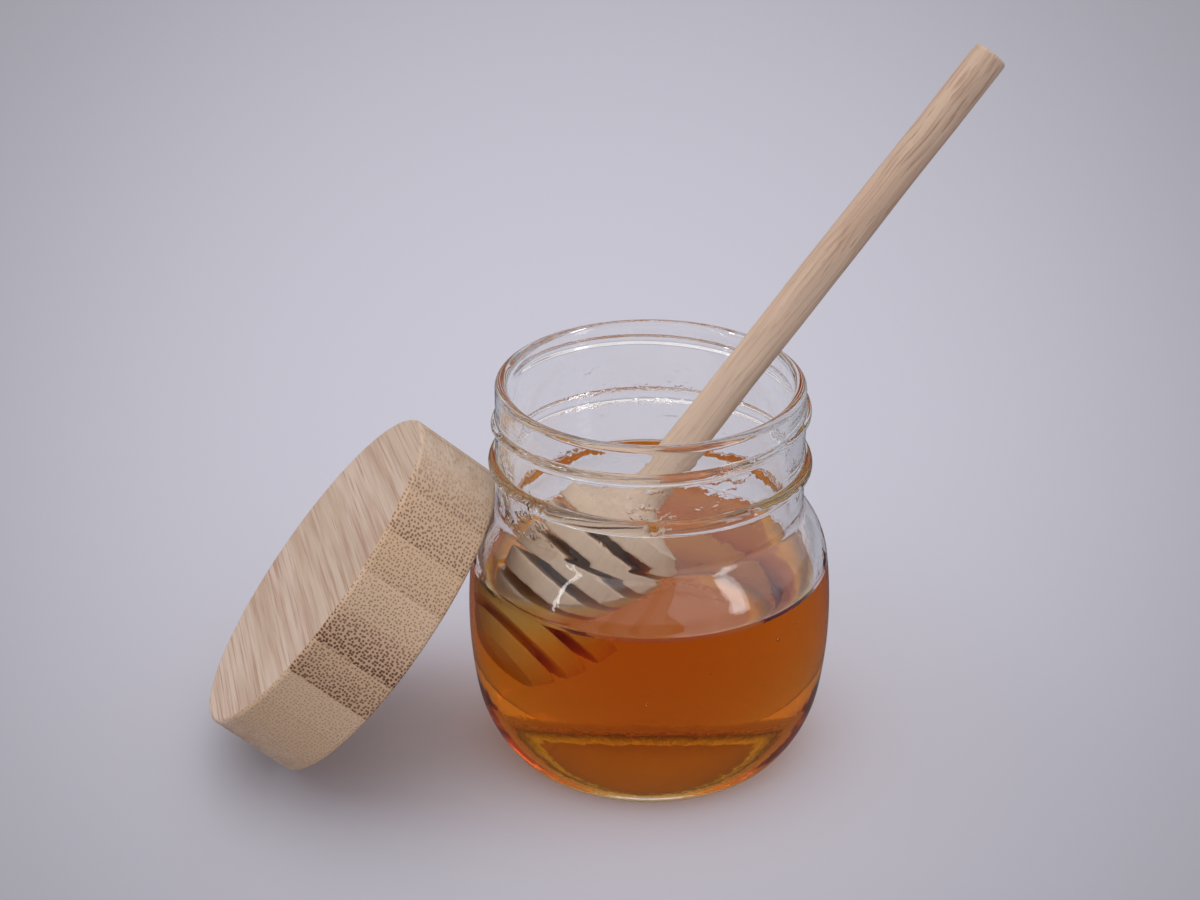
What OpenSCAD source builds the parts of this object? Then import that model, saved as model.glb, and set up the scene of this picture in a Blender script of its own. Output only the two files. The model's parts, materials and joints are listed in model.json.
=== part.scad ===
// A belly-shaped glass honey jar with a screw neck, the honey in it, a wooden
// honey dipper standing in the honey, and the bamboo screw cap taken off and
// leaned against the neck. Millimetres, +Z up, the jar stands on the floor z = 0
// with its axis on the Z axis, and the cap leans on it from the -X side.

/* [Jar] */
// height from the floor to the top of the rim
jar_h = 88; // [84:1:106]
// widest diameter of the belly
body_d = 80.4; // [78:0.2:97]
// height of the widest place above the floor
belly_z = 33.4; // [31:0.2:34]
// side radius of the belly, seen in section
side_r = 102.5; // [90:0.5:130]
// angle over which the side curves from the widest place up to the shoulder
side_up = 7.4; // [5:0.1:9]
// angle over which the side curves from the widest place down to the heel curve
side_down = 10; // [8:0.5:12]
// radius of the shoulder
shoulder_r = 19.3; // [17:0.1:21]
// radius of the large curve from the side into the base
corner_r = 29.9; // [28:0.1:32]
// small radius where that curve meets the floor
heel_r = 1.7; // [1:0.1:3]
// glass thickness of the body and of the neck
wall = 2.8; // [2.2:0.1:3.4]
// height of the inside floor above the table
floor_z = 5; // [4:0.1:6]
// radius inside, where the wall turns into the floor
floor_fillet = 6; // [4:0.5:8]
// width of the ring the jar stands on
foot_w = 5.5; // [3:0.5:8]
// rise of the hollow under the base
push_up = 1.6; // [1:0.1:2.2]

/* [Neck] */
// outside diameter of the plain neck
neck_d = 67.5; // [65:0.1:68]
// radius of the hollow curve between the neck and the shoulder
neck_fillet = 2.5; // [1.5:0.1:4]
// radius of the outer edge of the rim
rim_round = 1.4; // [0.8:0.1:1.4]
// outside diameter over the screw thread
thread_d = 69.8; // [69:0.1:70.4]
// rise of the thread in one turn
thread_pitch = 5; // [4:0.1:5.6]
// height of the thread ridge
thread_w = 2.2; // [1.6:0.1:2.6]
// how far below the rim the thread starts
thread_start = 4; // [3:0.1:5]
// compass angle of the start of the thread
thread_angle = 165; // [0:5:355]
// outside diameter of the bead under the thread
bead_d = 70.8; // [69.5:0.1:71.2]
// height of the bead
bead_h = 3.6; // [2.6:0.1:4.2]
// how far the middle of the bead lies below the rim
bead_drop = 18.8; // [16:0.1:20]

/* [Honey] */
// height of the honey's surface above the table
honey_z = 44.5; // [20:0.5:46]

/* [Dipper] */
// whole length of the dipper
dipper_l = 166; // [150:1:200]
// diameter of the handle at its top end
handle_d = 8; // [7:0.1:10]
// extra diameter of the handle where it meets the head
handle_taper = 0.5; // [0:0.1:1]
// chamfer on the top end of the handle
handle_edge = 0.7; // [0.3:0.1:1.2]
// widest diameter of the ribbed head
head_d = 32; // [26:0.5:33]
// how far above the tip the head is widest
head_mid = 24; // [20:0.5:28]
// half the length of the oval that the ribs follow
head_half = 28.3; // [27:0.1:34]
// number of ribs
ribs = 6; // [5:1:6]
// distance from one rib to the next
rib_pitch = 6.5; // [5.8:0.1:6.6]
// width of the groove between two ribs
groove_w = 2.2; // [1.4:0.1:2.8]
// diameter of the core at the bottom of the grooves
core_d = 11; // [9.5:0.5:13]
// break on the sharp edges of the ribs
rib_edge = 0.35; // [0.2:0.05:0.5]
// length of the flare that runs from the head into the handle
flare_l = 8; // [5:0.5:12]
// compass angle that the handle points to
dipper_turn = 26.3; // [10:0.5:60]
// how far the stick passes to the side of the jar's axis
dipper_side = 0.9; // [0:0.1:3]
// height of the tip's middle above the table
tip_z = 28.7; // [28:0.1:31]
// play between the lowest rib and the inside of the belly
tip_play = 0.15; // [0.1:0.05:2]
// play between the stick and the rim
dipper_play = 0.2; // [0.1:0.05:0.4]

/* [Cap] */
// outside diameter of the cap
cap_d = 80; // [78:0.5:96]
// height of the cap
cap_h = 20.6; // [18.5:0.1:25]
// thickness of the cap's top
cap_top = 5.2; // [4:0.1:6]
// play around the thread and bead inside the cap
cap_play = 1; // [0.4:0.1:1.6]
// rounding of the cap's outer edges
cap_round = 1; // [0.5:0.1:1.5]
// rounding of the edge of the cap's recess
recess_round = 0.6; // [0.3:0.1:1]
// slope of the leaning cap: how far its top face looks up
cap_lean = 38.3; // [30:0.1:44]
// how far the leaning cap stands forward of the jar's axis
cap_forward = 3.4; // [0:0.1:8]
// play between the leaning cap and the glass
cap_gap = 0.15; // [0.05:0.05:0.3]

/* [Hidden] */
$fn = 120;

body_r = body_d / 2;
neck_r = neck_d / 2;
mouth_r = neck_r - wall;
bead_z = jar_h - bead_drop;
glass_color = [0.86, 0.93, 0.92, 0.4];
honey_color = [0.80, 0.42, 0.06];
wood_color = [0.84, 0.70, 0.52];
bamboo_color = [0.80, 0.64, 0.43];

// ---- section of the glass: circle arcs that run into each other ----

// centre of the shoulder arc
shoulder_cx = body_r - side_r + (side_r - shoulder_r) * cos(side_up);
shoulder_cz = belly_z + (side_r - shoulder_r) * sin(side_up);
// centre of the large curve into the base
corner_cx = body_r - side_r + (side_r - corner_r) * cos(side_down);
corner_cz = belly_z - (side_r - corner_r) * sin(side_down);
// angles at which the arcs hand over to each other
neck_meet = acos((neck_r + neck_fillet - shoulder_cx) / (shoulder_r + neck_fillet));
heel_meet = asin((corner_cz - heel_r) / (corner_r - heel_r));
floor_meet = asin((corner_cz - floor_z - floor_fillet) / (corner_r - wall - floor_fillet));
// height at which the straight neck begins
neck_z = shoulder_cz + (shoulder_r + neck_fillet) * sin(neck_meet);
// radius of the outer edge of the standing ring
foot_r = corner_cx + (corner_r - heel_r) * cos(heel_meet);

// points on an arc about [cx, cz] from angle a to angle b
function arc(cx, cz, r, a, b, n) =
  [for (i = [0 : n]) [cx + r * cos(a + (b - a) * i / n), cz + r * sin(a + (b - a) * i / n)]];

// the belly from the floor up to the straight neck, moved inward by t
function belly(t) = concat(
  t == 0
    ? arc(foot_r, heel_r, heel_r, -90, -heel_meet, 5)
    : arc(corner_cx + (corner_r - t - floor_fillet) * cos(floor_meet),
          floor_z + floor_fillet, floor_fillet, -90, -floor_meet, 7),
  arc(corner_cx, corner_cz, corner_r - t, t == 0 ? -heel_meet : -floor_meet, -side_down, 12),
  arc(body_r - side_r, belly_z, side_r - t, -side_down, side_up, 10),
  arc(shoulder_cx, shoulder_cz, shoulder_r - t, side_up, neck_meet, 12),
  arc(neck_r + neck_fillet, neck_z, neck_fillet + t, 180 + neck_meet, 180, 6)
);

// the bead, a rounded ring standing out of the neck, moved outward by t
function bead_points(t) = [for (a = [-90 : 15 : 90])
  [neck_r + ((bead_d - neck_d) / 2 + t) * cos(a), bead_z + (bead_h / 2 + t) * sin(a)]];

// the hollow under the base, from the axis out to the standing ring
function base_points() =
  [for (i = [0 : 8]) [(foot_r - foot_w) * i / 8, push_up * (1 - pow(i / 8, 4))]];

// the inside of the glass from the floor up to the rim
inside = belly(wall);

module glass_outline() {
  polygon(concat(
    base_points(),
    belly(0),
    bead_points(0),
    arc(neck_r - rim_round, jar_h - rim_round, rim_round, 0, 90, 6),
    arc(mouth_r + rim_round, jar_h - rim_round, rim_round, 90, 180, 6),
    [for (i = [len(inside) - 1 : -1 : 0]) inside[i]],
    [[0, floor_z]]
  ));
}

// what the honey fills: the inside up to the honey's surface
module honey_outline() {
  surface_r = lookup(honey_z, [for (p = inside) [p[1], p[0]]]);
  polygon(concat(
    [[0, floor_z]],
    [for (p = inside) if (p[1] < honey_z) p],
    [[surface_r, honey_z], [0, honey_z]]
  ));
}

// one turn of thread, sunk a little into the neck, running out at both ends
module screw_thread() {
  steps = 72;
  ridge = (thread_d - neck_d) / 2;
  shape = [[-0.4, -0.50], [0.40, -0.44], [0.85, -0.26], [1, 0], [0.85, 0.26], [0.40, 0.44], [-0.4, 0.50]];
  m = len(shape);
  function fade(i) = min(1, i / 5, (steps - i) / 5);
  function out(i, s) = s < 0 ? s : ridge * s * fade(i) - 0.25 * (1 - fade(i));
  function turn(i) = thread_angle - 360 * i / steps;
  function level(i) = jar_h - thread_start - thread_pitch * i / steps;
  points = [for (i = [0 : steps]) for (p = shape)
    [(neck_r + out(i, p[0])) * cos(turn(i)),
     (neck_r + out(i, p[0])) * sin(turn(i)),
     level(i) + thread_w * p[1]]];
  sides = [for (i = [0 : steps - 1]) for (k = [0 : m - 1]) for (h = [0, 1])
    let (a = i * m + k, b = i * m + (k + 1) % m, c = a + m, d = b + m)
    h == 0 ? [a, d, b] : [a, c, d]];
  start_cap = [for (k = [0 : m - 1]) k];
  end_cap = [for (k = [m - 1 : -1 : 0]) steps * m + k];
  polyhedron(points, concat(sides, [start_cap], [end_cap]), convexity = 8);
}

module jar() {
  color(glass_color)
    union() {
      rotate_extrude()
        glass_outline();
      screw_thread();
    }
}

// ---- honey: everything below its surface that the dipper leaves free ----

module honey() {
  color(honey_color)
    difference() {
      rotate_extrude()
        honey_outline();
      dipper_placed();
    }
}

// ---- dipper: one turned piece, tip at z = 0, handle up ----

function rib_r(z) = head_d / 2 * sqrt(1 - pow((z - head_mid) / head_half, 2));
function rib_low(i) = i * rib_pitch;
function rib_high(i) = i * rib_pitch + rib_pitch - groove_w;
head_l = rib_high(ribs - 1);
neck_end = handle_d / 2 + handle_taper / 2;

function rib_points(i) = let (a = rib_low(i), b = rib_high(i), m = (a + b) / 2) concat(
  i == 0 ? [] : [[core_d / 2, a]],
  [[rib_r(a + rib_edge) - rib_edge, a], [rib_r(a + rib_edge), a + rib_edge], [rib_r(m), m],
   [rib_r(b - rib_edge), b - rib_edge], [rib_r(b - rib_edge) - rib_edge, b]],
  i == ribs - 1 ? [] : [[core_d / 2, b]]
);

// hollow flare from the last rib up into the handle
function flare_points() = let (wide = rib_r(head_l - rib_edge) - rib_edge)
  [for (i = [1 : 8]) [neck_end + (wide - neck_end) * pow(1 - i / 8, 2.4), head_l + flare_l * i / 8]];

module dipper_shape() {
  rotate_extrude()
    polygon(concat(
      [[0, 0]],
      [for (i = [0 : ribs - 1]) each rib_points(i)],
      flare_points(),
      [[handle_d / 2, dipper_l - handle_edge], [handle_d / 2 - handle_edge, dipper_l], [0, dipper_l]]
    ));
}

// the stick lies on the rim: the tangent from the tip to a circle about the rim's edge
rest_x = sqrt(pow(mouth_r + rim_round, 2) - pow(dipper_side, 2));
rest_z = jar_h - rim_round;
rest_off = neck_end + rim_round + dipper_play;
function slope_from(x) =
  atan2(rest_z - tip_z, rest_x - x) + asin(rest_off / norm([rest_x - x, rest_z - tip_z]));
// the lowest rib lies against the glass, the further out the flatter the stick lies
function tip_from(slope) = rib_r(rib_edge) * sin(slope) + tip_play - body_r + wall;
// slope and tip depend on each other, so they are worked out in turns until they agree
function settle(x, turns) = turns == 0 ? x : settle(tip_from(slope_from(x)), turns - 1);
tip_x = settle(0, 12);
dipper_slope = slope_from(tip_x);

module dipper_placed() {
  rotate([0, 0, dipper_turn])
    translate([tip_x, dipper_side, tip_z])
      rotate([0, 90 - dipper_slope, 0])
        dipper_shape();
}

module dipper() {
  color(wood_color)
    dipper_placed();
}

// ---- cap: a round bamboo block with a recess that fits over the neck ----

recess_r = max(thread_d, bead_d) / 2 + cap_play;

module cap_shape() {
  rotate_extrude()
    polygon(concat(
      [[0, cap_h - cap_top], [recess_r, cap_h - cap_top]],
      arc(recess_r + recess_round, recess_round, recess_round, 180, 270, 4),
      arc(cap_d / 2 - cap_round, cap_round, cap_round, -90, 0, 5),
      arc(cap_d / 2 - cap_round, cap_h - cap_round, cap_round, 0, 90, 5),
      [[0, cap_h]]
    ));
}

// the lower edge stands on the table
cap_edge_r = cap_d / 2 - cap_round;
cap_z = cap_edge_r * cos(cap_lean) - cap_round * sin(cap_lean) + cap_round;

// the outside of the glass above its widest place, moved outward by t, as heights with their radii
thread_low = jar_h - thread_start - thread_pitch - thread_w / 2;
function outside(t) = [for (p = concat(
    [for (q = belly(-t)) if (q[1] > belly_z) q],
    [for (q = bead_points(t)) [max(q[0], neck_r + t), q[1]]],
    [[neck_r + t, thread_low - t - 0.1], [thread_d / 2 + t, thread_low - t], [thread_d / 2 + t, jar_h]]))
  [p[1], p[0]]];

// where the cap's middle stands when one point of an edge with this radius and rounding
// lies against the glass
function stand_x(radius, round, turn) = let (
    y = radius * sin(turn) - cap_forward,
    z = cap_z + radius * cos(turn) * cos(cap_lean) + round * sin(cap_lean),
    reach = lookup(z, outside(round + cap_gap)))
  abs(y) < reach
    ? round * cos(cap_lean) - sqrt(reach * reach - y * y) - radius * cos(turn) * sin(cap_lean)
    : 0;

// the cap lies against the glass at the point of its two edges that meets it first
cap_edges = [[recess_r + recess_round, recess_round], [cap_edge_r, cap_round]];
cap_x = min([for (edge = cap_edges, turn = [-90 : 2 : 90]) stand_x(edge[0], edge[1], turn)]);

module cap() {
  color(bamboo_color)
    translate([cap_x, -cap_forward, cap_z])
      rotate([0, cap_lean - 90, 0])
        cap_shape();
}

jar();
honey();
dipper();
cap();
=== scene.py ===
# %% [markdown]
# # A honey jar with its dipper and bamboo cap
# Four things are shown: a clear pressed-glass jar, the honey in it, a turned
# wooden dipper that stands in the honey, and the bamboo cap that leans on the
# jar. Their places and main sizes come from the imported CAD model, which is
# loaded first. The looks are made here: finer turned meshes than the CAD needs,
# and a procedural finish for each material.

import json
import math

import bmesh
import bpy
import numpy as np
from mathutils import Matrix, Vector, noise
from mathutils.bvhtree import BVHTree

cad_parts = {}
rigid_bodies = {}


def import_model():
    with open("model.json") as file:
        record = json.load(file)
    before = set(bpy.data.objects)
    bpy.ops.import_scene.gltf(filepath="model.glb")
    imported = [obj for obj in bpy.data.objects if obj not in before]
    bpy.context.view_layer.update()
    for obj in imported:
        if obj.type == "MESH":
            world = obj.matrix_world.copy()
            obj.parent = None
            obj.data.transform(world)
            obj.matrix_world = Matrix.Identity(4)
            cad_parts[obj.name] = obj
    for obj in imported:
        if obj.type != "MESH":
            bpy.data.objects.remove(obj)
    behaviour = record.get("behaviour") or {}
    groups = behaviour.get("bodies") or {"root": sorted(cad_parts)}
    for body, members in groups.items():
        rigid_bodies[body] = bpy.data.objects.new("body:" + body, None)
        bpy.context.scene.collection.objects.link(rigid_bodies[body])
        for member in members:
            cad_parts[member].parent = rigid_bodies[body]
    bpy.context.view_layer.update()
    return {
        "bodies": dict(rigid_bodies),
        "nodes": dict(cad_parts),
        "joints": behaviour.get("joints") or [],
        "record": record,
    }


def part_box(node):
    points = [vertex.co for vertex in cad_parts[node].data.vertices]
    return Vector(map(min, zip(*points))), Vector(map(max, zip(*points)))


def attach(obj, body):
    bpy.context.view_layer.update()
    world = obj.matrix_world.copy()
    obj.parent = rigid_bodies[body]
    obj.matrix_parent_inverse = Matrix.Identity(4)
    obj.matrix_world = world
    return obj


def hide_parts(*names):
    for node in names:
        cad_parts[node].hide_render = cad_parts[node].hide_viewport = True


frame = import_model()
MM = 0.001

# %% [markdown]
# ## Writing a finish as sums
# A finish is a small calculation that runs at every point of a surface. Blender
# draws it as a net of nodes. Here a node's output is wrapped in a class that
# knows the usual operators, so that `1 - mask` or `grain * 0.3` adds the Math
# node by itself, and the finish can be read like any other formula.

# %% Sockets that can be calculated with
class Value:
    """One output of a node. Sums with it add Math nodes to the finish."""

    def __init__(self, finish, socket):
        self.finish, self.socket = finish, socket

    def maths(self, operation, *numbers):
        """A Math node. Its numbers are Values or constants."""
        return self.finish.node("ShaderNodeMath", {"operation": operation}, dict(enumerate(numbers)))

    def __add__(self, other):
        return self.maths("ADD", self, other)

    def __sub__(self, other):
        return self.maths("SUBTRACT", self, other)

    def __rsub__(self, other):
        return self.maths("SUBTRACT", other, self)

    def __mul__(self, other):
        return self.maths("MULTIPLY", self, other)

    def __truediv__(self, other):
        return self.maths("DIVIDE", self, other)

    def __pow__(self, other):
        return self.maths("POWER", self, other)

    def __abs__(self):
        return self.maths("ABSOLUTE", self)

    __radd__, __rmul__ = __add__, __mul__

    def steps(self, low, high):
        """0 below low, 1 above high and a soft ramp between; low may be the larger."""
        ends = {0: self, 1: low, 2: high, 3: 0.0, 4: 1.0}
        return self.finish.node("ShaderNodeMapRange", {"interpolation_type": "SMOOTHSTEP"}, ends)


class Finish:
    """A material, or the room's light, whose nodes are added by plain calls."""

    def __init__(self, name, kept_in="materials"):
        self.owner = getattr(bpy.data, kept_in).new(name)
        self.owner.use_nodes = True
        self.tree = self.owner.node_tree
        self.tree.nodes.clear()

    def node(self, kind, settings, inputs, output=0):
        """Adds a node: its settings first, then what its sockets get, which is a Value or a constant."""
        made = self.tree.nodes.new(kind)
        for key, setting in settings.items():
            if key == "stops":
                self.set_stops(made.color_ramp, setting)
            else:
                setattr(made, key, setting)
        for key, given in inputs.items():
            if isinstance(given, Value):
                self.tree.links.new(given.socket, made.inputs[key])
            else:
                made.inputs[key].default_value = given
        return Value(self, made.outputs[output]) if len(made.outputs) else None

    @staticmethod
    def set_stops(ramp, stops):
        """Gives a ramp one flat colour from each stop to the next."""
        while len(ramp.elements) < len(stops):
            ramp.elements.new(0.5)
        for element, (place, colour) in zip(ramp.elements, stops):
            element.position, element.color = place, (*colour, 1)
        ramp.interpolation = "CONSTANT"

    def place(self, frame=None):
        """The point on the piece in metres, measured along the axes of a frame of its own if one is given."""
        spot = self.node("ShaderNodeTexCoord", {}, {}, "Object")
        if frame is None:
            return spot
        spot = self.node("ShaderNodeVectorMath", {"operation": "SUBTRACT"}, {0: spot, 1: frame.translation})
        along = [self.node("ShaderNodeVectorMath", {"operation": "DOT_PRODUCT"}, {0: spot, 1: axis}, 1)
                 for axis in frame.to_3x3().transposed()]
        return self.node("ShaderNodeCombineXYZ", {}, dict(enumerate(along)))

    def stretched(self, place, by):
        """A place or a colour multiplied by a number for each axis."""
        return self.node("ShaderNodeVectorMath", {"operation": "MULTIPLY"}, {0: place, 1: by})

    def parts(self, place):
        """The x, y and z of a point as three Values."""
        return [self.node("ShaderNodeSeparateXYZ", {}, {0: place}, i) for i in range(3)]

    def cloud(self, place, scale, detail=2.0, rough=0.5):
        """Soft noise from 0 to 1."""
        inputs = {"Vector": place, "Scale": scale, "Detail": detail, "Roughness": rough}
        return self.node("ShaderNodeTexNoise", {}, inputs)

    def mix(self, share, first, second):
        """A colour from first to second."""
        colours = {6: self.colour(first), 7: self.colour(second)}
        return self.node("ShaderNodeMix", {"data_type": "RGBA"}, {0: share, **colours}, 2)

    @staticmethod
    def colour(given):
        return given if isinstance(given, Value) else (*given, 1)

    def bump(self, height, distance, strength=1.0):
        inputs = {"Height": height, "Distance": distance, "Strength": strength}
        return self.node("ShaderNodeBump", {}, inputs)

    def mirrored(self):
        """1 for light that a shiny surface mirrors, 0 for light that is seen straight or through glass."""
        through = self.node("ShaderNodeLightPath", {}, {}, "Is Transmission Ray")
        return self.node("ShaderNodeLightPath", {}, {}, "Is Glossy Ray") * (1 - through)

    def surface(self, inputs):
        """Closes the finish with one Principled surface."""
        return self.closed({"Surface": self.node("ShaderNodeBsdfPrincipled", {}, inputs)})

    def closed(self, ends, kind="ShaderNodeOutputMaterial"):
        """Closes the finish with its output, and gives the material or the room's light."""
        self.node(kind, {}, ends)
        print("finish", self.owner.name, "has", len(self.tree.nodes), "nodes")
        return self.owner


# %% [markdown]
# ## Turning an outline
# The jar, the honey, the dipper and the cap are all round. On the real things
# that comes from a mould or a lathe, and here from one helper: it turns an
# outline about the z axis. The CAD mesh could be shown as it is, but its section
# is made of short straight steps, and glass shows each of them as a bright line.
# So each outline is worked out again from the same circle arcs, much finer.

# %% Outline and lathe helpers
same_point, on_axis = 1e-4, 1e-6


def arc(cx, cz, radius, start, end, count):
    """Points of a circle arc from angle start to angle end, in degrees."""
    turn = np.radians(np.linspace(start, end, count))
    return np.column_stack([cx + radius * np.cos(turn), cz + radius * np.sin(turn)])


def line(start, end, count):
    return np.linspace(start, end, count)


def joined(*parts):
    """One outline from several, without repeated points."""
    points = np.vstack([np.atleast_2d(p) for p in parts])
    far = np.r_[True, np.hypot(*np.diff(points, axis=0).T) > same_point]
    return points[far]


def lathe(name, outline, segments, shape=None):
    """Turns an outline of (radius, height) points in mm, listed from the bottom of the axis round the
    outside to the top of the axis. shape may move the points: it gets the angle in radians, and the
    outline's radii and heights, and gives the new radii and heights."""
    rings = outline[outline[:, 0] > on_axis]
    turn = np.linspace(0, 2 * math.pi, segments, endpoint=False)
    r, z = (np.repeat(rings[:, i][:, None], segments, axis=1) for i in (0, 1))
    if shape:
        r, z = shape(np.broadcast_to(turn, r.shape), r, z)
    points = np.stack([r * np.cos(turn), r * np.sin(turn), z], axis=-1).reshape(-1, 3)
    a = np.arange(len(rings) - 1)[:, None] * segments + np.arange(segments)
    b = np.arange(len(rings) - 1)[:, None] * segments + (np.arange(segments) + 1) % segments
    faces = np.stack([a, b, b + segments, a + segments], axis=-1).reshape(-1, 4).tolist()
    low, high = len(points), len(points) + 1
    last = (len(rings) - 1) * segments
    around = [(i, (i + 1) % segments) for i in range(segments)]
    faces += [(j, i, low) for i, j in around] + [(last + i, last + j, high) for i, j in around]
    points = np.vstack([points, [0, 0, z[0].mean()], [0, 0, z[-1].mean()]]) * MM
    mesh = bpy.data.meshes.new(name)
    mesh.from_pydata(points.tolist(), [], faces)
    mesh.polygons.foreach_set("use_smooth", [True] * len(mesh.polygons))
    piece = bpy.data.objects.new(name, mesh)
    bpy.context.scene.collection.objects.link(piece)
    print(name, "has", len(mesh.vertices), "points and", len(mesh.polygons), "faces")
    return piece


def finished(piece, material, stands_for):
    """Gives a piece its finish and its place in the model."""
    piece.data.materials.append(material)
    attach(piece, "root")
    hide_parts(stands_for)
    return piece


# %% [markdown]
# ## The glass
# A belly jar is pressed and blown in a steel mould: its side is one long curve,
# the shoulder a rounder one, and the neck stands straight on top with a bead and
# one turn of thread. The section below follows the same arcs as the CAD model,
# moved inward by the wall for the inside. Only the base is thinner than there,
# because a real jar of this kind shows its honey nearly down to the table.

# %% The jar's section
jar_low, jar_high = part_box("jar")
jar_h = jar_high.z / MM
body_r = (jar_high.x - jar_low.x) / 2 / MM
belly_z, side_r, side_up, side_down = 33.4, 102.5, 7.4, 10.0
shoulder_r, corner_r, heel_r = 19.3, 29.9, 1.7
wall, floor_z, floor_fillet = 2.8, 2.3, 4.0
foot_w, push_up, push_up_curve = 5.5, 0.9, 4
neck_r, neck_fillet, rim_round = 33.75, 2.5, 1.4
mouth_r = neck_r - wall


def cosd(angle):
    return math.cos(math.radians(angle))


def sind(angle):
    return math.sin(math.radians(angle))


shoulder_cx = body_r - side_r + (side_r - shoulder_r) * cosd(side_up)
shoulder_cz = belly_z + (side_r - shoulder_r) * sind(side_up)
corner_cx = body_r - side_r + (side_r - corner_r) * cosd(side_down)
corner_cz = belly_z - (side_r - corner_r) * sind(side_down)
neck_meet = math.degrees(math.acos((neck_r + neck_fillet - shoulder_cx) / (shoulder_r + neck_fillet)))
heel_meet = math.degrees(math.asin((corner_cz - heel_r) / (corner_r - heel_r)))
neck_z = shoulder_cz + (shoulder_r + neck_fillet) * sind(neck_meet)
foot_r = corner_cx + (corner_r - heel_r) * cosd(heel_meet)


def belly(inward):
    """The curve from the base up to the straight neck, moved inward. Outside it starts at the standing
    ring, inside at the jar's floor."""
    if inward == 0:
        corner = heel_meet
        start = arc(foot_r, heel_r, heel_r, -90, -corner, 10)
    else:
        reach = corner_r - wall - floor_fillet
        corner = math.degrees(math.asin((corner_cz - floor_z - floor_fillet) / reach))
        start = arc(corner_cx + reach * cosd(corner), floor_z + floor_fillet,
                    floor_fillet + wall - inward, -90, -corner, 14)
    return joined(
        start,
        arc(corner_cx, corner_cz, corner_r - inward, -corner, -side_down, 42),
        arc(body_r - side_r, belly_z, side_r - inward, -side_down, side_up, 32),
        arc(shoulder_cx, shoulder_cz, shoulder_r - inward, side_up, neck_meet, 32),
        arc(neck_r + neck_fillet, neck_z, neck_fillet + inward, 180 + neck_meet, 180, 14))


# %% The whole section of the glass
bead_out, bead_half, bead_z = 1.65, 1.8, jar_h - 18.8
bead = joined(*[[neck_r + bead_out * cosd(a), bead_z + bead_half * sind(a)] for a in range(-90, 91, 7)])
base_r = np.linspace(0, foot_r - foot_w, 12)
base = np.column_stack([base_r, push_up * (1 - (base_r / base_r[-1]) ** push_up_curve)])
off_belly, off_bead, off_rim = 0.3, 0.2, 0.5
outer_rings, inner_rings = 64, 44
glass_outline = joined(
    base,
    belly(0),
    line((neck_r, neck_z + off_belly), (neck_r, bead_z - bead_half - off_bead), 12),
    bead,
    line((neck_r, bead_z + bead_half + off_bead), (neck_r, jar_h - rim_round), outer_rings),
    arc(neck_r - rim_round, jar_h - rim_round, rim_round, 0, 90, 9),
    arc(mouth_r + rim_round, jar_h - rim_round, rim_round, 90, 180, 9),
    line((mouth_r, jar_h - rim_round - off_rim), (mouth_r, neck_z + off_belly), inner_rings),
    belly(wall)[::-1],
    [0, floor_z])
print("glass section:", len(glass_outline), "points, widest", round(glass_outline[:, 0].max(), 2), "mm")

# %% [markdown]
# The thread is one turn of a rounded ridge that falls a little as it goes round
# and fades out at both ends. It could be a strip of its own, swept along a helix,
# but glass shows any face that is inside it. So the neck is turned with many
# rings, and those that the thread passes are pushed out. The inside of such a jar
# is never quite true, and its waves of a few hundredths of a millimetre are what
# bends the picture behind it, so the inner wall is moved by a soft noise.

# %% The thread and the unevenness of pressed glass
thread_out, thread_w, thread_pitch = 1.15, 2.2, 5.0
thread_start, thread_angle, fades_in = 4.0, 165.0, 14
ridge_off = [0, 0.15, 0.26, 0.36, 0.44, 0.52, 0.66]
ridge_rise = [1, 0.97, 0.85, 0.6, 0.34, 0.1, 0]
waves = ((0.16, 0.07), (0.45, 0.018))  # how close together, and how high in mm
calm_r, upright = 10, 0.8  # no waves within this radius, and how much the waves are drawn out upward


def pressed(turn, r, z):
    """Raises the thread on the neck, and lets the inside of the glass wave a little."""
    outside = (r > neck_r - 0.01) & (z > bead_z + bead_half)
    part = np.mod(thread_angle - np.degrees(turn), 360) / 360
    off = np.abs(z - (jar_h - thread_start - thread_pitch * part)) / thread_w
    ridge = np.interp(off, ridge_off, ridge_rise)
    fade = np.clip(np.minimum(part, 1 - part) * fades_in, 0, 1)
    r = r + outside * ridge * thread_out * fade * fade * (3 - 2 * fade)
    inside = np.zeros(r.shape, bool)
    inside[-(len(belly(wall)) + inner_rings):] = True
    wave = np.zeros(r.shape)
    for ring, spot in zip(*np.nonzero(inside)):
        t, radius, height = turn[ring, spot], r[ring, spot], z[ring, spot]
        where = Vector((radius * math.cos(t), radius * math.sin(t), height * upright))
        wave[ring, spot] = sum(noise.noise(where * often) * high for often, high in waves)
    return r + wave * np.clip((r - calm_r) / calm_r, 0, 1), z


jar_piece = lathe("jar_glass", glass_outline, 256, pressed)

# %% [markdown]
# Clear glass needs no colour of its own: it is seen by what it bends and mirrors.
# Small things make it look pressed and used, and not machined: a very low
# orange-peel bump, the seam that the two halves of the mould leave on the neck,
# smeared drops inside the neck, and an underside that is frosted by standing on
# tables. Where honey wets the inside, next to nothing is mirrored, because honey
# bends light as much as glass does. A thin gap between the two would mirror it
# there, and so would a second bend, so the wetted faces get a finish of their
# own that lets light go straight on into the honey.

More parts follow.
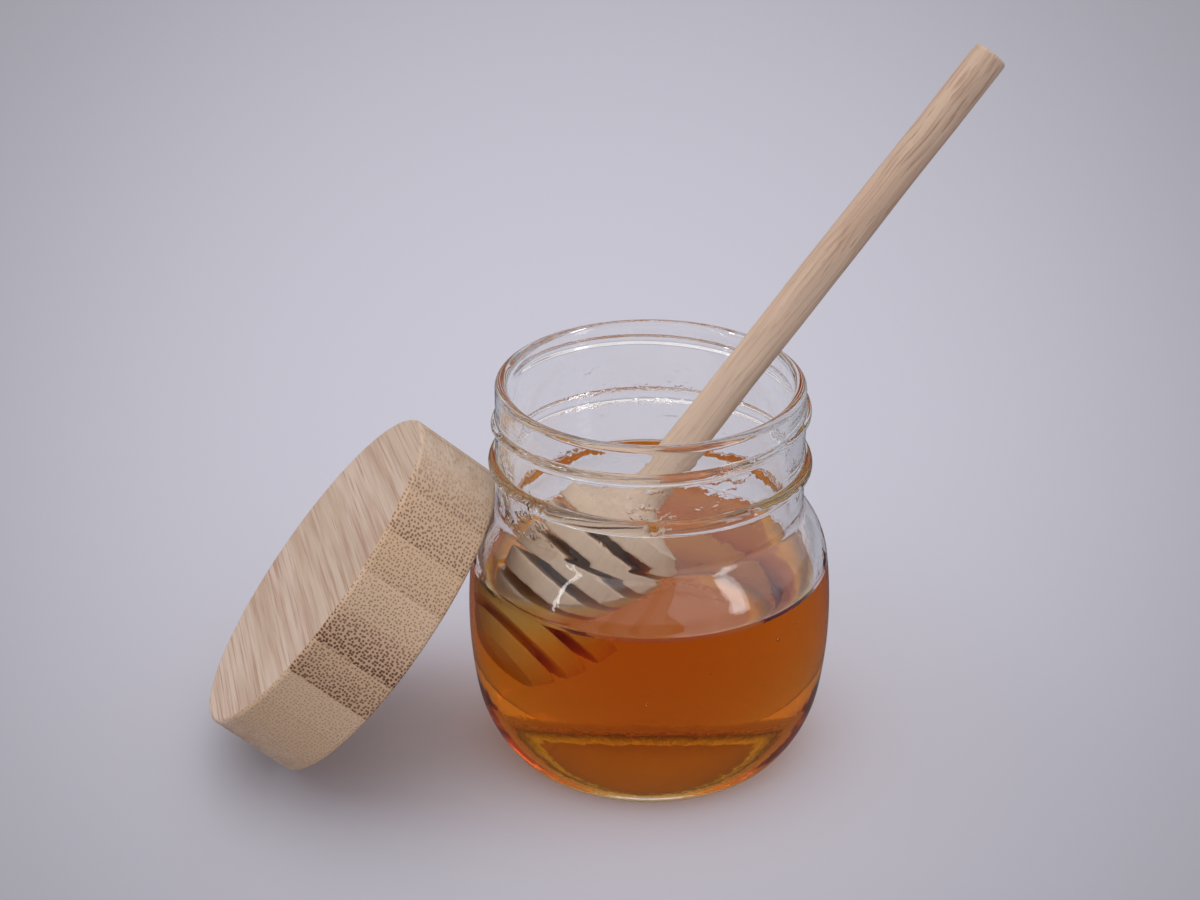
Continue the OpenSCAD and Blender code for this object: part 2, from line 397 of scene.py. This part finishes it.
# %% Glass finish
seam_turns, seam_half, seam_soft, seam_low = (71.0, 251.0), 0.4 * MM, 2 * MM, 0.15
peel_high, drop_high, peel_depth = 0.55, 5.0, 0.1 * MM
glass_tint, frosted = (0.985, 0.992, 0.988, 1), 0.9
glass = Finish("pressed clear glass")
spot = glass.place()
x, y, z = glass.parts(spot)
peel = glass.cloud(spot, 260, 2.0) * 0.7 + glass.cloud(spot, 900, 1.0) * 0.12
seam = 0
for turn in seam_turns:
    across = x * sind(turn) - y * cosd(turn)
    ahead = x * cosd(turn) + y * sind(turn)
    seam = abs(across).steps(seam_half, 0.0) * ahead.steps(0.0, seam_soft) + seam
seam = seam * z.steps((neck_z + 1) * MM, (neck_z + 3) * MM)
inner = (x * x + y * y).steps(((neck_r - 1.2) * MM) ** 2, ((neck_r - 1.8) * MM) ** 2)
low_neck = z.steps((neck_z - 1) * MM, (neck_z + 2) * MM) * z.steps((jar_h - 6) * MM, (jar_h - 12) * MM)
drops = glass.cloud(glass.stretched(spot, (1, 1, 1.6)), 330, 2.0).steps(0.5, 0.66)
drops = drops * glass.cloud(spot, 60).steps(0.5, 0.62)
peel = peel + drops * inner * low_neck * drop_high
glass_look = glass.surface({
    "Base Color": glass_tint,
    "Roughness": z.steps((push_up + 1.0) * MM, push_up * MM) * frosted,
    "IOR": 1.5,
    "Transmission Weight": 1.0,
    "Normal": glass.bump(peel + seam * seam_low, peel_depth, peel_high)})
wet_look = Finish("glass wetted by honey").surface({
    "Base Color": glass_tint, "Roughness": 0.0, "IOR": 1.0, "Transmission Weight": 1.0})

# %% Give the wetted faces their own finish
finished(jar_piece, glass_look, "jar")
jar_piece.data.materials.append(wet_look)
_, honey_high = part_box("honey")
honey_z = honey_high.z / MM
wetted = 0
for face in jar_piece.data.polygons:
    middle = face.center / MM
    faces_in = face.normal.dot(face.center * Vector((1, 1, 0))) < 1e-9
    if floor_z - 0.3 < middle.z < honey_z and faces_in:
        face.material_index = 1
        wetted += 1
print("wetted faces of the glass:", wetted)

# %% [markdown]
# ## The dipper
# A honey dipper is turned from one stick of pale hardwood: a slim handle, a
# hollow flare and an egg-shaped head that the turner cuts into ribs. Its place
# is read from the CAD mesh: the two ends of a round piece give its axis, and the
# new piece is set on that axis.

# %% Find the axis of a round CAD piece
end_depth, rounds = 2e-5, 6


def spots_of(node):
    """The points of a CAD mesh, in metres."""
    return np.array([v.co for v in frame["nodes"][node].data.vertices])


def ends(node, axis):
    """The middles of the two end faces of a round CAD piece, found from a rough axis that points up."""
    spots = spots_of(node)
    axis = axis / np.linalg.norm(axis)
    for _ in range(rounds):
        along = spots @ axis
        low = spots[along < along.min() + end_depth]
        high = spots[along > along.max() - end_depth]
        low, high = (np.unique(s.round(7), axis=0).mean(0) for s in (low, high))
        axis = (high - low) / np.linalg.norm(high - low)
    return low, high


def main_axis(node, which):
    """A principal direction of a CAD mesh, pointing up: 2 is its longest way, 0 its shortest."""
    axis = np.linalg.eigh(np.cov(spots_of(node).T))[1][:, which]
    return axis * np.sign(axis[2])


def placing(origin, along, across):
    """The matrix of a frame with z along one direction and x as near as may be to another."""
    z_way = Vector(along).normalized()
    x_way = Vector(across) - Vector(across).dot(z_way) * z_way
    x_way.normalize()
    y_way = z_way.cross(x_way)
    turned = Matrix((x_way, y_way, z_way)).transposed().to_4x4()
    return Matrix.Translation(origin) @ turned


tip, top = ends("dipper", main_axis("dipper", 2))
dipper_l = np.linalg.norm(top - tip) / MM
print("dipper:", round(dipper_l, 2), "mm long, tip at", (tip / MM).round(2), "mm")

# %% [markdown]
# The head's side is part of an ellipse. The turner's narrow tool leaves straight
# grooves down to a core, and sanding softly breaks their edges. The ribs could
# be cut out of a plain egg with booleans, but a turned piece can have them in its
# outline: one function gives a rib and the groove above it, and is called once
# for each rib. Without the broken edges no light would catch on the rims.

# %% The dipper's outline
handle_r, handle_taper, handle_edge = 4.0, 0.25, 0.8
head_r, head_mid, head_half = 16.0, 24.0, 28.3
ribs, rib_pitch, groove_w, core_r = 6, 6.5, 2.2, 5.5
edge, flare_l, flare_curve = 0.45, 8.0, 2.4
axis_r, off_core, off_end = 0.01, 0.2, 0.2


def head_at(height):
    return head_r * math.sqrt(1 - ((height - head_mid) / head_half) ** 2)


def rib(index):
    """One rib with softly broken edges, and the floor of the groove above it."""
    low, high = index * rib_pitch, index * rib_pitch + rib_pitch - groove_w
    lower = arc(head_at(low + edge) - edge, low + edge, edge, -90, -20, 5)
    upper = arc(head_at(high - edge) - edge, high - edge, edge, 25, 90, 5)
    middle = [[head_at(h), h] for h in np.linspace(low + edge * 1.5, high - edge * 1.5, 8)]
    start = line((axis_r, 0), lower[0], 8) if index == 0 else line((core_r, low), lower[0], 6)
    if index == ribs - 1:
        return joined(start, lower, middle, upper)
    groove = line((core_r, high + off_core), (core_r, high + groove_w - off_core), 4)
    return joined(start, lower, middle, upper, line(upper[-1], (core_r, high), 6), groove)


head_l = ribs * rib_pitch - groove_w
wide = head_at(head_l - edge) - edge
fall = np.linspace(0, 1, 26)[1:]
neck_end = handle_r + handle_taper
flare = np.column_stack([neck_end + (wide - neck_end) * (1 - fall) ** flare_curve, head_l + flare_l * fall])
dipper_outline = joined(
    *[rib(i) for i in range(ribs)],
    flare,
    line((neck_end, head_l + flare_l + 1), (handle_r, dipper_l - handle_edge - off_end), 60),
    arc(handle_r - handle_edge, dipper_l - handle_edge, handle_edge, 0, 90, 7),
    line((handle_r - handle_edge, dipper_l), (axis_r, dipper_l), 6))


def turned_by_hand(turn, r, z):
    """The tiny wobble that a turning tool and sanding leave: a few hundredths of a millimetre."""
    wobble = 0.05 * np.sin(2 * turn + z * 0.11) + 0.03 * np.sin(3 * turn - z * 0.23)
    return r + wobble * np.clip(r / handle_r, 0, 1) * (z > 1) * (z < dipper_l - 1), z


dipper_piece = lathe("honey_dipper", dipper_outline, 128, turned_by_hand)
dipper_frame = placing(tip, top - tip, (0, -1, 0))
dipper_piece.data.transform(dipper_frame)

# %% [markdown]
# Turned hardwood shows long grain on the handle: broad bands of early and late
# wood, thin pores as short dark dashes, and a pink tinge. All of it follows the
# axis, so the same noise is squeezed across the stick and drawn out along it.
# On the ribs the cuts cross the fibres, so the rims stay pale. The narrow
# grooves, which are hard to sand, are rougher, and they are painted darker:
# painted shade for the shadow that falls deep in them. Below the honey the
# wood is painted a brighter orange the deeper it is. That is partly the honey
# soaked into it, and partly painted light that stands in for the honey-coloured
# light reaching it through the honey.

# %% Wood finish
pale_from, dark_from = 10.5 * MM, 7.5 * MM  # how far out a groove starts to darken, and is dark
swings, grain_depth = 6 * MM, 0.12 * MM
wood = Finish("turned pale hardwood")
spot = wood.place(dipper_frame)
x, y, z = wood.parts(spot)
sway = wood.node("ShaderNodeTexNoise", {}, {"Vector": spot, "Scale": 22.0}, "Color")
sway = wood.stretched(sway, (swings, swings, 0.0))
bent = wood.node("ShaderNodeVectorMath", {"operation": "ADD"}, {0: spot, 1: sway})
bands = wood.cloud(wood.stretched(bent, (420, 420, 9)), 1.0, 3.0, 0.55)
lines = wood.cloud(wood.stretched(bent, (1700, 1700, 22)), 1.0, 2.0, 0.6)
pores = wood.cloud(wood.stretched(spot, (3600, 3600, 190)), 1.0, 1.0).steps(0.66, 0.8)
patches = wood.cloud(spot, 38, 2.0)
in_head = z.steps((head_l + 1) * MM, (head_l - 1) * MM)
# Painted shade: the head is painted darker where its surface lies close to the axis, deep in the grooves and
# at its narrow ends.
groove = in_head * ((x * x + y * y) ** 0.5).steps(pale_from, dark_from)
# Painted light: the handle is painted lighter towards the jar and darker towards its upper end, as the light
# falls on it.
lit_toward_jar = z.steps(dipper_l * 0.8 * MM, dipper_l * 0.3 * MM)
tone = wood.mix(bands.steps(0.36, 0.66), (0.62, 0.455, 0.325), (0.48, 0.33, 0.235))
tone = wood.mix(lines.steps(0.48, 0.70) * 0.75, tone, (0.33, 0.19, 0.12))
tone = wood.mix(pores * 0.7, tone, (0.20, 0.11, 0.065))
tone = wood.mix(patches.steps(0.42, 0.7) * 0.35, tone, (0.60, 0.385, 0.27))
tone = wood.mix(lit_toward_jar * 0.42, tone, (0.86, 0.68, 0.52))
tone = wood.mix(in_head * 0.55, tone, (0.80, 0.60, 0.43))
# the painted shade in the grooves
tone = wood.mix(groove * 0.7, tone, (0.30, 0.19, 0.125))
_, _, above_table = wood.parts(wood.place())
# Partly real, partly painted light: below the honey the wood is painted a bright orange for the honey soaked
# into it and for the honey-coloured light that reaches it, and more orange deeper down.
soaked_and_honey_lit = above_table.steps((honey_z + 1.0) * MM, (honey_z - 1.5) * MM)
deep = above_table.steps((honey_z - 2.0) * MM, (honey_z - 9.0) * MM)
tone = wood.mix(soaked_and_honey_lit * 0.9, tone, wood.mix(deep, (0.95, 0.64, 0.20), (1.0, 0.45, 0.04)))
fibres = lines * 0.7 + pores * -0.9 + wood.cloud(spot, 2400, 2.0) * 0.35
wood_look = wood.surface({
    "Base Color": tone,
    "Roughness": 0.52 + lines * 0.18 + groove * 0.15,
    "Specular IOR Level": 0.35,
    "Normal": wood.bump(fibres, grain_depth, 0.6)})
finished(dipper_piece, wood_look, "dipper")

# %% [markdown]
# ## The honey
# The honey fills the jar to a level surface that climbs a little where it wets
# the glass and the wood. Its mesh reaches a tenth of a millimetre into the glass:
# with a gap there, light would pass through a film of air that isn't there, and
# the honey would look like a separate lump. The dipper is simply inside the
# honey, because a hole cut round it could leave such a film at the wood.

# %% The honey's outline and its climb on the glass and the wood
into_glass, side_top = 0.12, 0.75
glass_climb, glass_reach = 0.85, 0.9
wood_climb, wood_reach, looks_for = 0.7, 0.8, 5 * MM
side = belly(wall - into_glass)
side = side[side[:, 1] < honey_z + side_top]
rim_r = side[-1, 0]
level_r = np.r_[rim_r - np.linspace(0.05, 6, 34), np.linspace(rim_r - 6.3, 0, 80)[:-1]]
level = np.column_stack([level_r, honey_z + glass_climb * np.exp(-(rim_r - level_r) / glass_reach)])
honey_floor = floor_z - into_glass
honey_outline = joined([0, honey_floor], line((0.5, honey_floor), side[0], 10), side, level)

wood_shape = bmesh.new()
wood_shape.from_mesh(dipper_piece.data)
wood_tree = BVHTree.FromBMesh(wood_shape)
wood_shape.free()


def wetting(turn, r, z):
    """Lifts the surface where it meets the dipper."""
    z = z.copy()
    for ring in range(len(r) - len(level), len(r)):
        for i in range(r.shape[1]):
            t = turn[ring, i]
            where = Vector((r[ring, i] * math.cos(t), r[ring, i] * math.sin(t), z[ring, i])) * MM
            found = wood_tree.find_nearest(where, looks_for)
            if found[0] is not None:
                z[ring, i] += wood_climb * math.exp(-found[3] / MM / wood_reach)
    return r, z


honey_piece = lathe("honey_fill", honey_outline, 240, wetting)

# %% [markdown]
# A few bubbles hang in the honey, left there when the jar was filled. A bubble
# could be a ball of air laid inside the honey, but light would then meet two
# skins. So each is a hollow: a ball turned inside out in the same mesh, which
# shuts a small place off from the honey. The faces that have air on their other
# side are marked, because only they will bend light.

# %% Bubbles as hollow places in the honey
bubbles = [(25.6, -23.8, 38.0, 0.42), (29.2, -20.5, 40.0, 0.30), (-1.0, -34.0, 28.5, 0.34),
           (12.0, -33.0, 35.0, 0.16), (5.0, -31.0, 22.0, 0.18), (-14.0, -26.0, 33.0, 0.14)]
outer_faces = len(honey_piece.data.polygons)
hollow = bmesh.new()
hollow.from_mesh(honey_piece.data)
for bx, by, bz, size in bubbles:
    made = bmesh.ops.create_icosphere(hollow, subdivisions=3, radius=size * MM,
                                      matrix=Matrix.Translation(Vector((bx, by, bz)) * MM))
    shell = list({f for v in made["verts"] for f in v.link_faces})
    bmesh.ops.reverse_faces(hollow, faces=shell)
    for face in shell:
        face.smooth = True
hollow.to_mesh(honey_piece.data)
hollow.free()
surface_z, level_enough = (honey_z - 0.1) * MM, 0.3
open_to_air = honey_piece.data.attributes.new("open_to_air", "FLOAT", "FACE")
open_to_air.data.foreach_set("value", [
    float(face.index >= outer_faces or (face.center.z > surface_z and face.normal.z > level_enough))
    for face in honey_piece.data.polygons])
print("honey has", len(bubbles), "bubbles")

# %% [markdown]
# Honey is clear but soaks up light as it goes through: blue within a few
# millimetres, green within a few centimetres, and red hardly at all. That is
# what makes a thin edge golden and the middle of the jar a deep amber, so the
# colour sits in the volume and the surface has none. The skin against the glass
# lets light go straight on, as the wetted glass does, and the marked faces bend
# it as honey does in air. It could be two materials on one mesh, but then neither
# would close off the volume, so one material mixes both skins by the mark.

# %% Honey finish
passes, density = (0.915, 0.64, 0.0, 1), 82.0
no_bend, honey_bend = 1.0, 1.49
honey = Finish("clear amber honey")
soak = honey.node("ShaderNodeVolumeAbsorption", {}, {"Color": passes, "Density": density})
against_glass, in_air = [
    honey.node("ShaderNodeBsdfPrincipled", {}, {
        "Base Color": (1, 1, 1, 1), "Roughness": 0.0, "IOR": bends, "Transmission Weight": 1.0})
    for bends in (no_bend, honey_bend)]
marked = honey.node("ShaderNodeAttribute", {"attribute_name": "open_to_air"}, {}, "Fac")
honey_skin = honey.node("ShaderNodeMixShader", {}, {0: marked, 1: against_glass, 2: in_air})
honey_look = honey.closed({"Surface": honey_skin, "Volume": soak})
finished(honey_piece, honey_look, "honey")

# %% [markdown]
# ## The bamboo cap
# The cap is cut from a board of bamboo strips that are glued side by side. It is
# a plain disc with a round recess and softly broken edges. The outline is turned
# like the others, and its place comes from the CAD mesh in the same way as the
# dipper's: for a flat disc, the axis is the mesh's shortest way.

# %% The cap's outline and place
foot, crown = ends("cap", main_axis("cap", 0))
cap_axis = crown - foot
cap_h = np.linalg.norm(cap_axis) / MM
cap_spots = spots_of("cap") - foot
away = cap_spots - np.outer(cap_spots @ cap_axis, cap_axis) / (cap_axis @ cap_axis)
cap_r = np.linalg.norm(away, axis=1).max() / MM
cap_top, recess_r, recess_round = 5.2, 36.4, 0.5
cap_edge, recess_edge, off_edge = 1.0, 0.6, 0.5
cap_outline = joined(
    line((axis_r, cap_h - cap_top), (recess_r - recess_round, cap_h - cap_top), 14),
    arc(recess_r - recess_round, cap_h - cap_top - recess_round, recess_round, 90, 0, 5),
    line((recess_r, cap_h - cap_top - recess_round * 2), (recess_r, recess_edge), 8),
    arc(recess_r + recess_edge, recess_edge, recess_edge, 180, 270, 7),
    arc(cap_r - cap_edge, cap_edge, cap_edge, -90, 0, 9),
    line((cap_r, cap_edge + off_edge), (cap_r, cap_h - cap_edge - off_edge), 14),
    arc(cap_r - cap_edge, cap_h - cap_edge, cap_edge, 0, 90, 9),
    line((cap_r - cap_edge - off_edge, cap_h), (axis_r, cap_h), 14))
print("cap:", round(cap_r * 2, 2), "mm across,", round(cap_h, 2), "mm high")

cap_piece = lathe("bamboo_cap", cap_outline, 192)
grain_turn = 16.0
face_up = Vector(cap_axis).cross(Vector((0, -1, 0))).normalized()
if face_up.z < 0:
    face_up.negate()
grain = Vector((0, -1, 0)) * cosd(grain_turn) + face_up * sind(grain_turn)
cap_frame = placing(foot, cap_axis, grain)
cap_piece.data.transform(cap_frame)

# %% [markdown]
# A bamboo strip is full of fibre bundles, which run along it like straws and
# crowd together towards the skin that the cane had outside. Where the round side
# cuts the strips off, the bundles show as dark dots, and where it runs along
# them, and on the flat face, they show as long fibres. The dots are a cell
# pattern drawn across the strips, so they keep their place as the side curves
# away. Each strip has its own share of dark bundles: chance would make the row
# too even, so the ten strips are given one by one.

# %% Bamboo strips
bamboo = Finish("laminated bamboo")
spot = bamboo.place(cap_frame)
x, y, z = bamboo.parts(spot)
strip_w, first_joint, first_strip = 9.0 * MM, 3.9 * MM, -5
near_skin = (0.10, 0.10, 0.14, 0.85, 1.0, 0.34, 0.42, 0.66, 0.62, 0.55)
draw, glue_from, glue_to = 3.0, 0.488, 0.497
row = (y - first_joint) / strip_w
strip = row.maths("FLOOR", row)
within = row - strip
chance = bamboo.node("ShaderNodeTexWhiteNoise", {"noise_dimensions": "1D"}, {"W": strip + draw})
stops = [(i / len(near_skin), (full, full, full)) for i, full in enumerate(near_skin)]
counted = (strip - first_strip + 0.5) / len(near_skin)
skin = bamboo.node("ShaderNodeValToRGB", {"stops": stops}, {0: counted}) * 1.0
joint = abs(within - 0.5).steps(glue_from, glue_to)
print("bamboo strips:", len(near_skin), "of", round(strip_w / MM, 1), "mm")

# %% Cut ends and long fibres
not_zero, bundles_per_m = 0.0001, 1290.0
rim_out = (x * x + y * y) ** 0.5
cut = (abs(x) / (rim_out + not_zero)).steps(0.25, 0.75)
on_side = rim_out.steps((cap_r - 1.2) * MM, (cap_r - 0.7) * MM)
end_grain = cut * on_side
drift = bamboo.cloud(spot, 90, 3.0)
across_strips = bamboo.node("ShaderNodeCombineXYZ", {}, {0: y, 1: z, 2: 0.0})
bundles = bamboo.node("ShaderNodeTexVoronoi", {"voronoi_dimensions": "2D", "feature": "F1"},
                      {"Vector": across_strips, "Scale": bundles_per_m, "Randomness": 0.6})
dense = ((1 - within) * 0.5 + 0.5) * skin + drift * 0.34 - 0.17
dots = (bundles - dense * 0.20 - 0.175).steps(0.08, -0.06)
streaks = bamboo.cloud(bamboo.stretched(spot, (14, 330, 330)), 1.0, 3.0, 0.6)
threads = bamboo.cloud(bamboo.stretched(spot, (20, 1800, 1800)), 1.0, 2.0, 0.6)

# %% Bamboo finish
base_tone = bamboo.mix(chance, (0.62, 0.425, 0.265), (0.66, 0.47, 0.31))
end_tone = bamboo.mix(dense.steps(0.1, 1.1) * 0.6, base_tone, (0.45, 0.255, 0.145))
end_tone = bamboo.mix(dots * (0.36 + dense * 0.62), end_tone, (0.12, 0.048, 0.024))
long_tone = bamboo.mix(streaks.steps(0.38, 0.68), (0.71, 0.56, 0.44), (0.58, 0.41, 0.30))
long_tone = bamboo.mix(threads.steps(0.50, 0.68) * 0.75, long_tone, (0.44, 0.25, 0.16))
long_tone = bamboo.mix(chance * 0.3, long_tone, (0.56, 0.42, 0.27))
bamboo_tone = bamboo.mix(end_grain, long_tone, end_tone)
bamboo_tone = bamboo.mix(joint * 0.4, bamboo_tone, (0.42, 0.24, 0.12))
relief = threads * 0.4 + dots * end_grain * -1.2 + joint * -0.5
bamboo_look = bamboo.surface({
    "Base Color": bamboo_tone,
    "Roughness": 0.5 + dots * end_grain * 0.2 + threads * 0.12,
    "Specular IOR Level": 0.35,
    "Normal": bamboo.bump(relief, 0.15 * MM, 0.5)})
finished(cap_piece, bamboo_look, "cap")

# %% [markdown]
# ## The camera, the table and the light
# The camera looks down at the jar from about 0.7 m with a long lens, which
# keeps the shape of the jar true. Colours are shown as they are, without
# the film-like curve that Blender adds. Light may also pass more surfaces than
# Blender allows by itself, because it gives up on a ray after four mirrorings,
# and the edges of the glass would turn black.

# %% The camera
view_from, view_dip = (-0.01097, -0.58840, 0.35929), 26.09
camera_data = bpy.data.cameras.new("camera")
camera_data.lens, camera_data.sensor_width = 90, 36
camera = bpy.data.objects.new("camera", camera_data)
camera.location = view_from
camera.rotation_euler = (math.radians(90 - view_dip), 0, 0)
bpy.context.scene.collection.objects.link(camera)
bpy.context.scene.camera = camera
bpy.context.scene.view_settings.view_transform = "Standard"
cycles = bpy.context.scene.cycles
cycles.max_bounces, cycles.transmission_bounces, cycles.glossy_bounces = 32, 32, 12
print("camera:", camera_data.lens, "mm lens, looks down by", view_dip, "degrees")

# %% [markdown]
# The jar stands on a matt sheet of pale lavender-grey paper, which is a flat grid
# that reaches far past the view. It darkens outward from the middle, as paper
# does that is lit from close by: lamps could do that too, but they would also
# shade the jar. Glass and honey gather light like a lens and throw it on the
# paper round the foot. That takes very many samples to trace, so the paper glows
# there a little by itself, warm round the jar and gold under it. What shiny
# surfaces mirror of the paper is darker, or the outline of the glass would melt
# into it.

# %% The sheet it stands on
reach, cells = 3.0, 24
grid = np.linspace(-reach, reach, cells + 1)
spots = [(px, py, 0.0) for py in grid for px in grid]
corners = [j * len(grid) + i for j in range(cells) for i in range(cells)]
quads = [(c, c + 1, c + len(grid) + 1, c + len(grid)) for c in corners]
sheet = bpy.data.meshes.new("sheet")
sheet.from_pydata(spots, [], quads)
floor = bpy.data.objects.new("table_sheet", sheet)
bpy.context.scene.collection.objects.link(floor)
print("sheet:", reach * 2, "m square")

# %% Paper finish
far_off, far_gain, half_width = 0.686, 0.898, 0.2  # the lit patch widens with y, as a fan does
middle_x, middle_y, onward_gain = 0.011, 0.0637, 0.44
loss, loss_curve, most_loss, eases_off = 0.28, 1.1, 0.42, 0.3
warm_ring, gold_spot = (95 * MM, 20 * MM), (31 * MM, 24 * MM)  # where each glow starts and is full
warm, gold, dark, dimmed = (0.085, 0.068, 0.062), (0.35, 0.34, 0.13), (0.0, 0.0, 0.0), 0.85
paper = Finish("matt lavender paper")
spot = paper.place()
x, y, z = paper.parts(spot)
fan = y * far_gain + far_off
sideways = (x + middle_x) / (fan * half_width)
onward = (y * onward_gain - middle_y) / (fan * half_width)
fading = ((sideways * sideways + onward * onward) ** loss_curve) * loss
fading = fading.maths("SMOOTH_MIN", fading, most_loss, eases_off)
fibre = paper.cloud(spot, 900, 3.0)
tint = paper.mix(fading, (0.60, 0.605, 0.665), dark)
tint = paper.mix(fibre * 0.06, tint, (0.55, 0.54, 0.60))
from_jar = (x * x + y * y) ** 0.5
gathered = paper.mix(from_jar.steps(*warm_ring), dark, warm)
gathered = paper.mix(from_jar.steps(*gold_spot), gathered, gold)
sheet.materials.append(paper.surface({
    "Base Color": paper.mix(paper.mirrored() * dimmed, tint, dark),
    "Emission Color": gathered,
    "Emission Strength": 1.0,
    "Roughness": 0.85,
    "Specular IOR Level": 0.2,
    "Normal": paper.bump(fibre, 0.1 * MM, 0.15)}))

# %% [markdown]
# Most of the light comes from all round, as in a room with white walls, and one
# broad lamp above gives the soft shadows. Two narrow lamps draw the bright strips
# on the glass. They could light everything, but they would add shadows of their
# own, so matt surfaces don't see them. The room is darker too where it is
# mirrored, so that the strips stand out.

# %% Light from all round and from the lamps
room_light, room_mirrored = 0.95, 0.55
room = Finish("pale room", "worlds")
strength = room_light - room.mirrored() * room_mirrored
glow = room.node("ShaderNodeBackground", {}, {"Color": (0.83, 0.80, 0.84, 1), "Strength": strength})
bpy.context.scene.world = room.closed({"Surface": glow}, "ShaderNodeOutputWorld")


def lamp(name, spot, aim, width, height, power):
    """A rectangular lamp at spot that shines towards aim. Sizes are in metres, and power in watts."""
    light = bpy.data.lights.new(name, "AREA")
    light.shape, light.size, light.size_y = "RECTANGLE", width, height
    light.energy = power
    holder = bpy.data.objects.new(name, light)
    holder.location = spot
    holder.rotation_euler = (Vector(aim) - Vector(spot)).to_track_quat("-Z", "Y").to_euler()
    bpy.context.scene.collection.objects.link(holder)
    print(name, "gives", power, "W")
    return holder


jar_middle = (0, 0, 0.04)
lamp("broad_lamp", (-0.25, -0.1, 1.25), (0, 0.02, 0), 1.5, 1.3, 5.0)
right_window = lamp("right_window", (0.80, -0.52, 0.40), jar_middle, 0.20, 0.95, 2.2)
left_strip = lamp("left_strip", (-0.80, -0.46, 0.50), jar_middle, 0.035, 1.1, 0.9)
right_window.visible_diffuse = left_strip.visible_diffuse = False
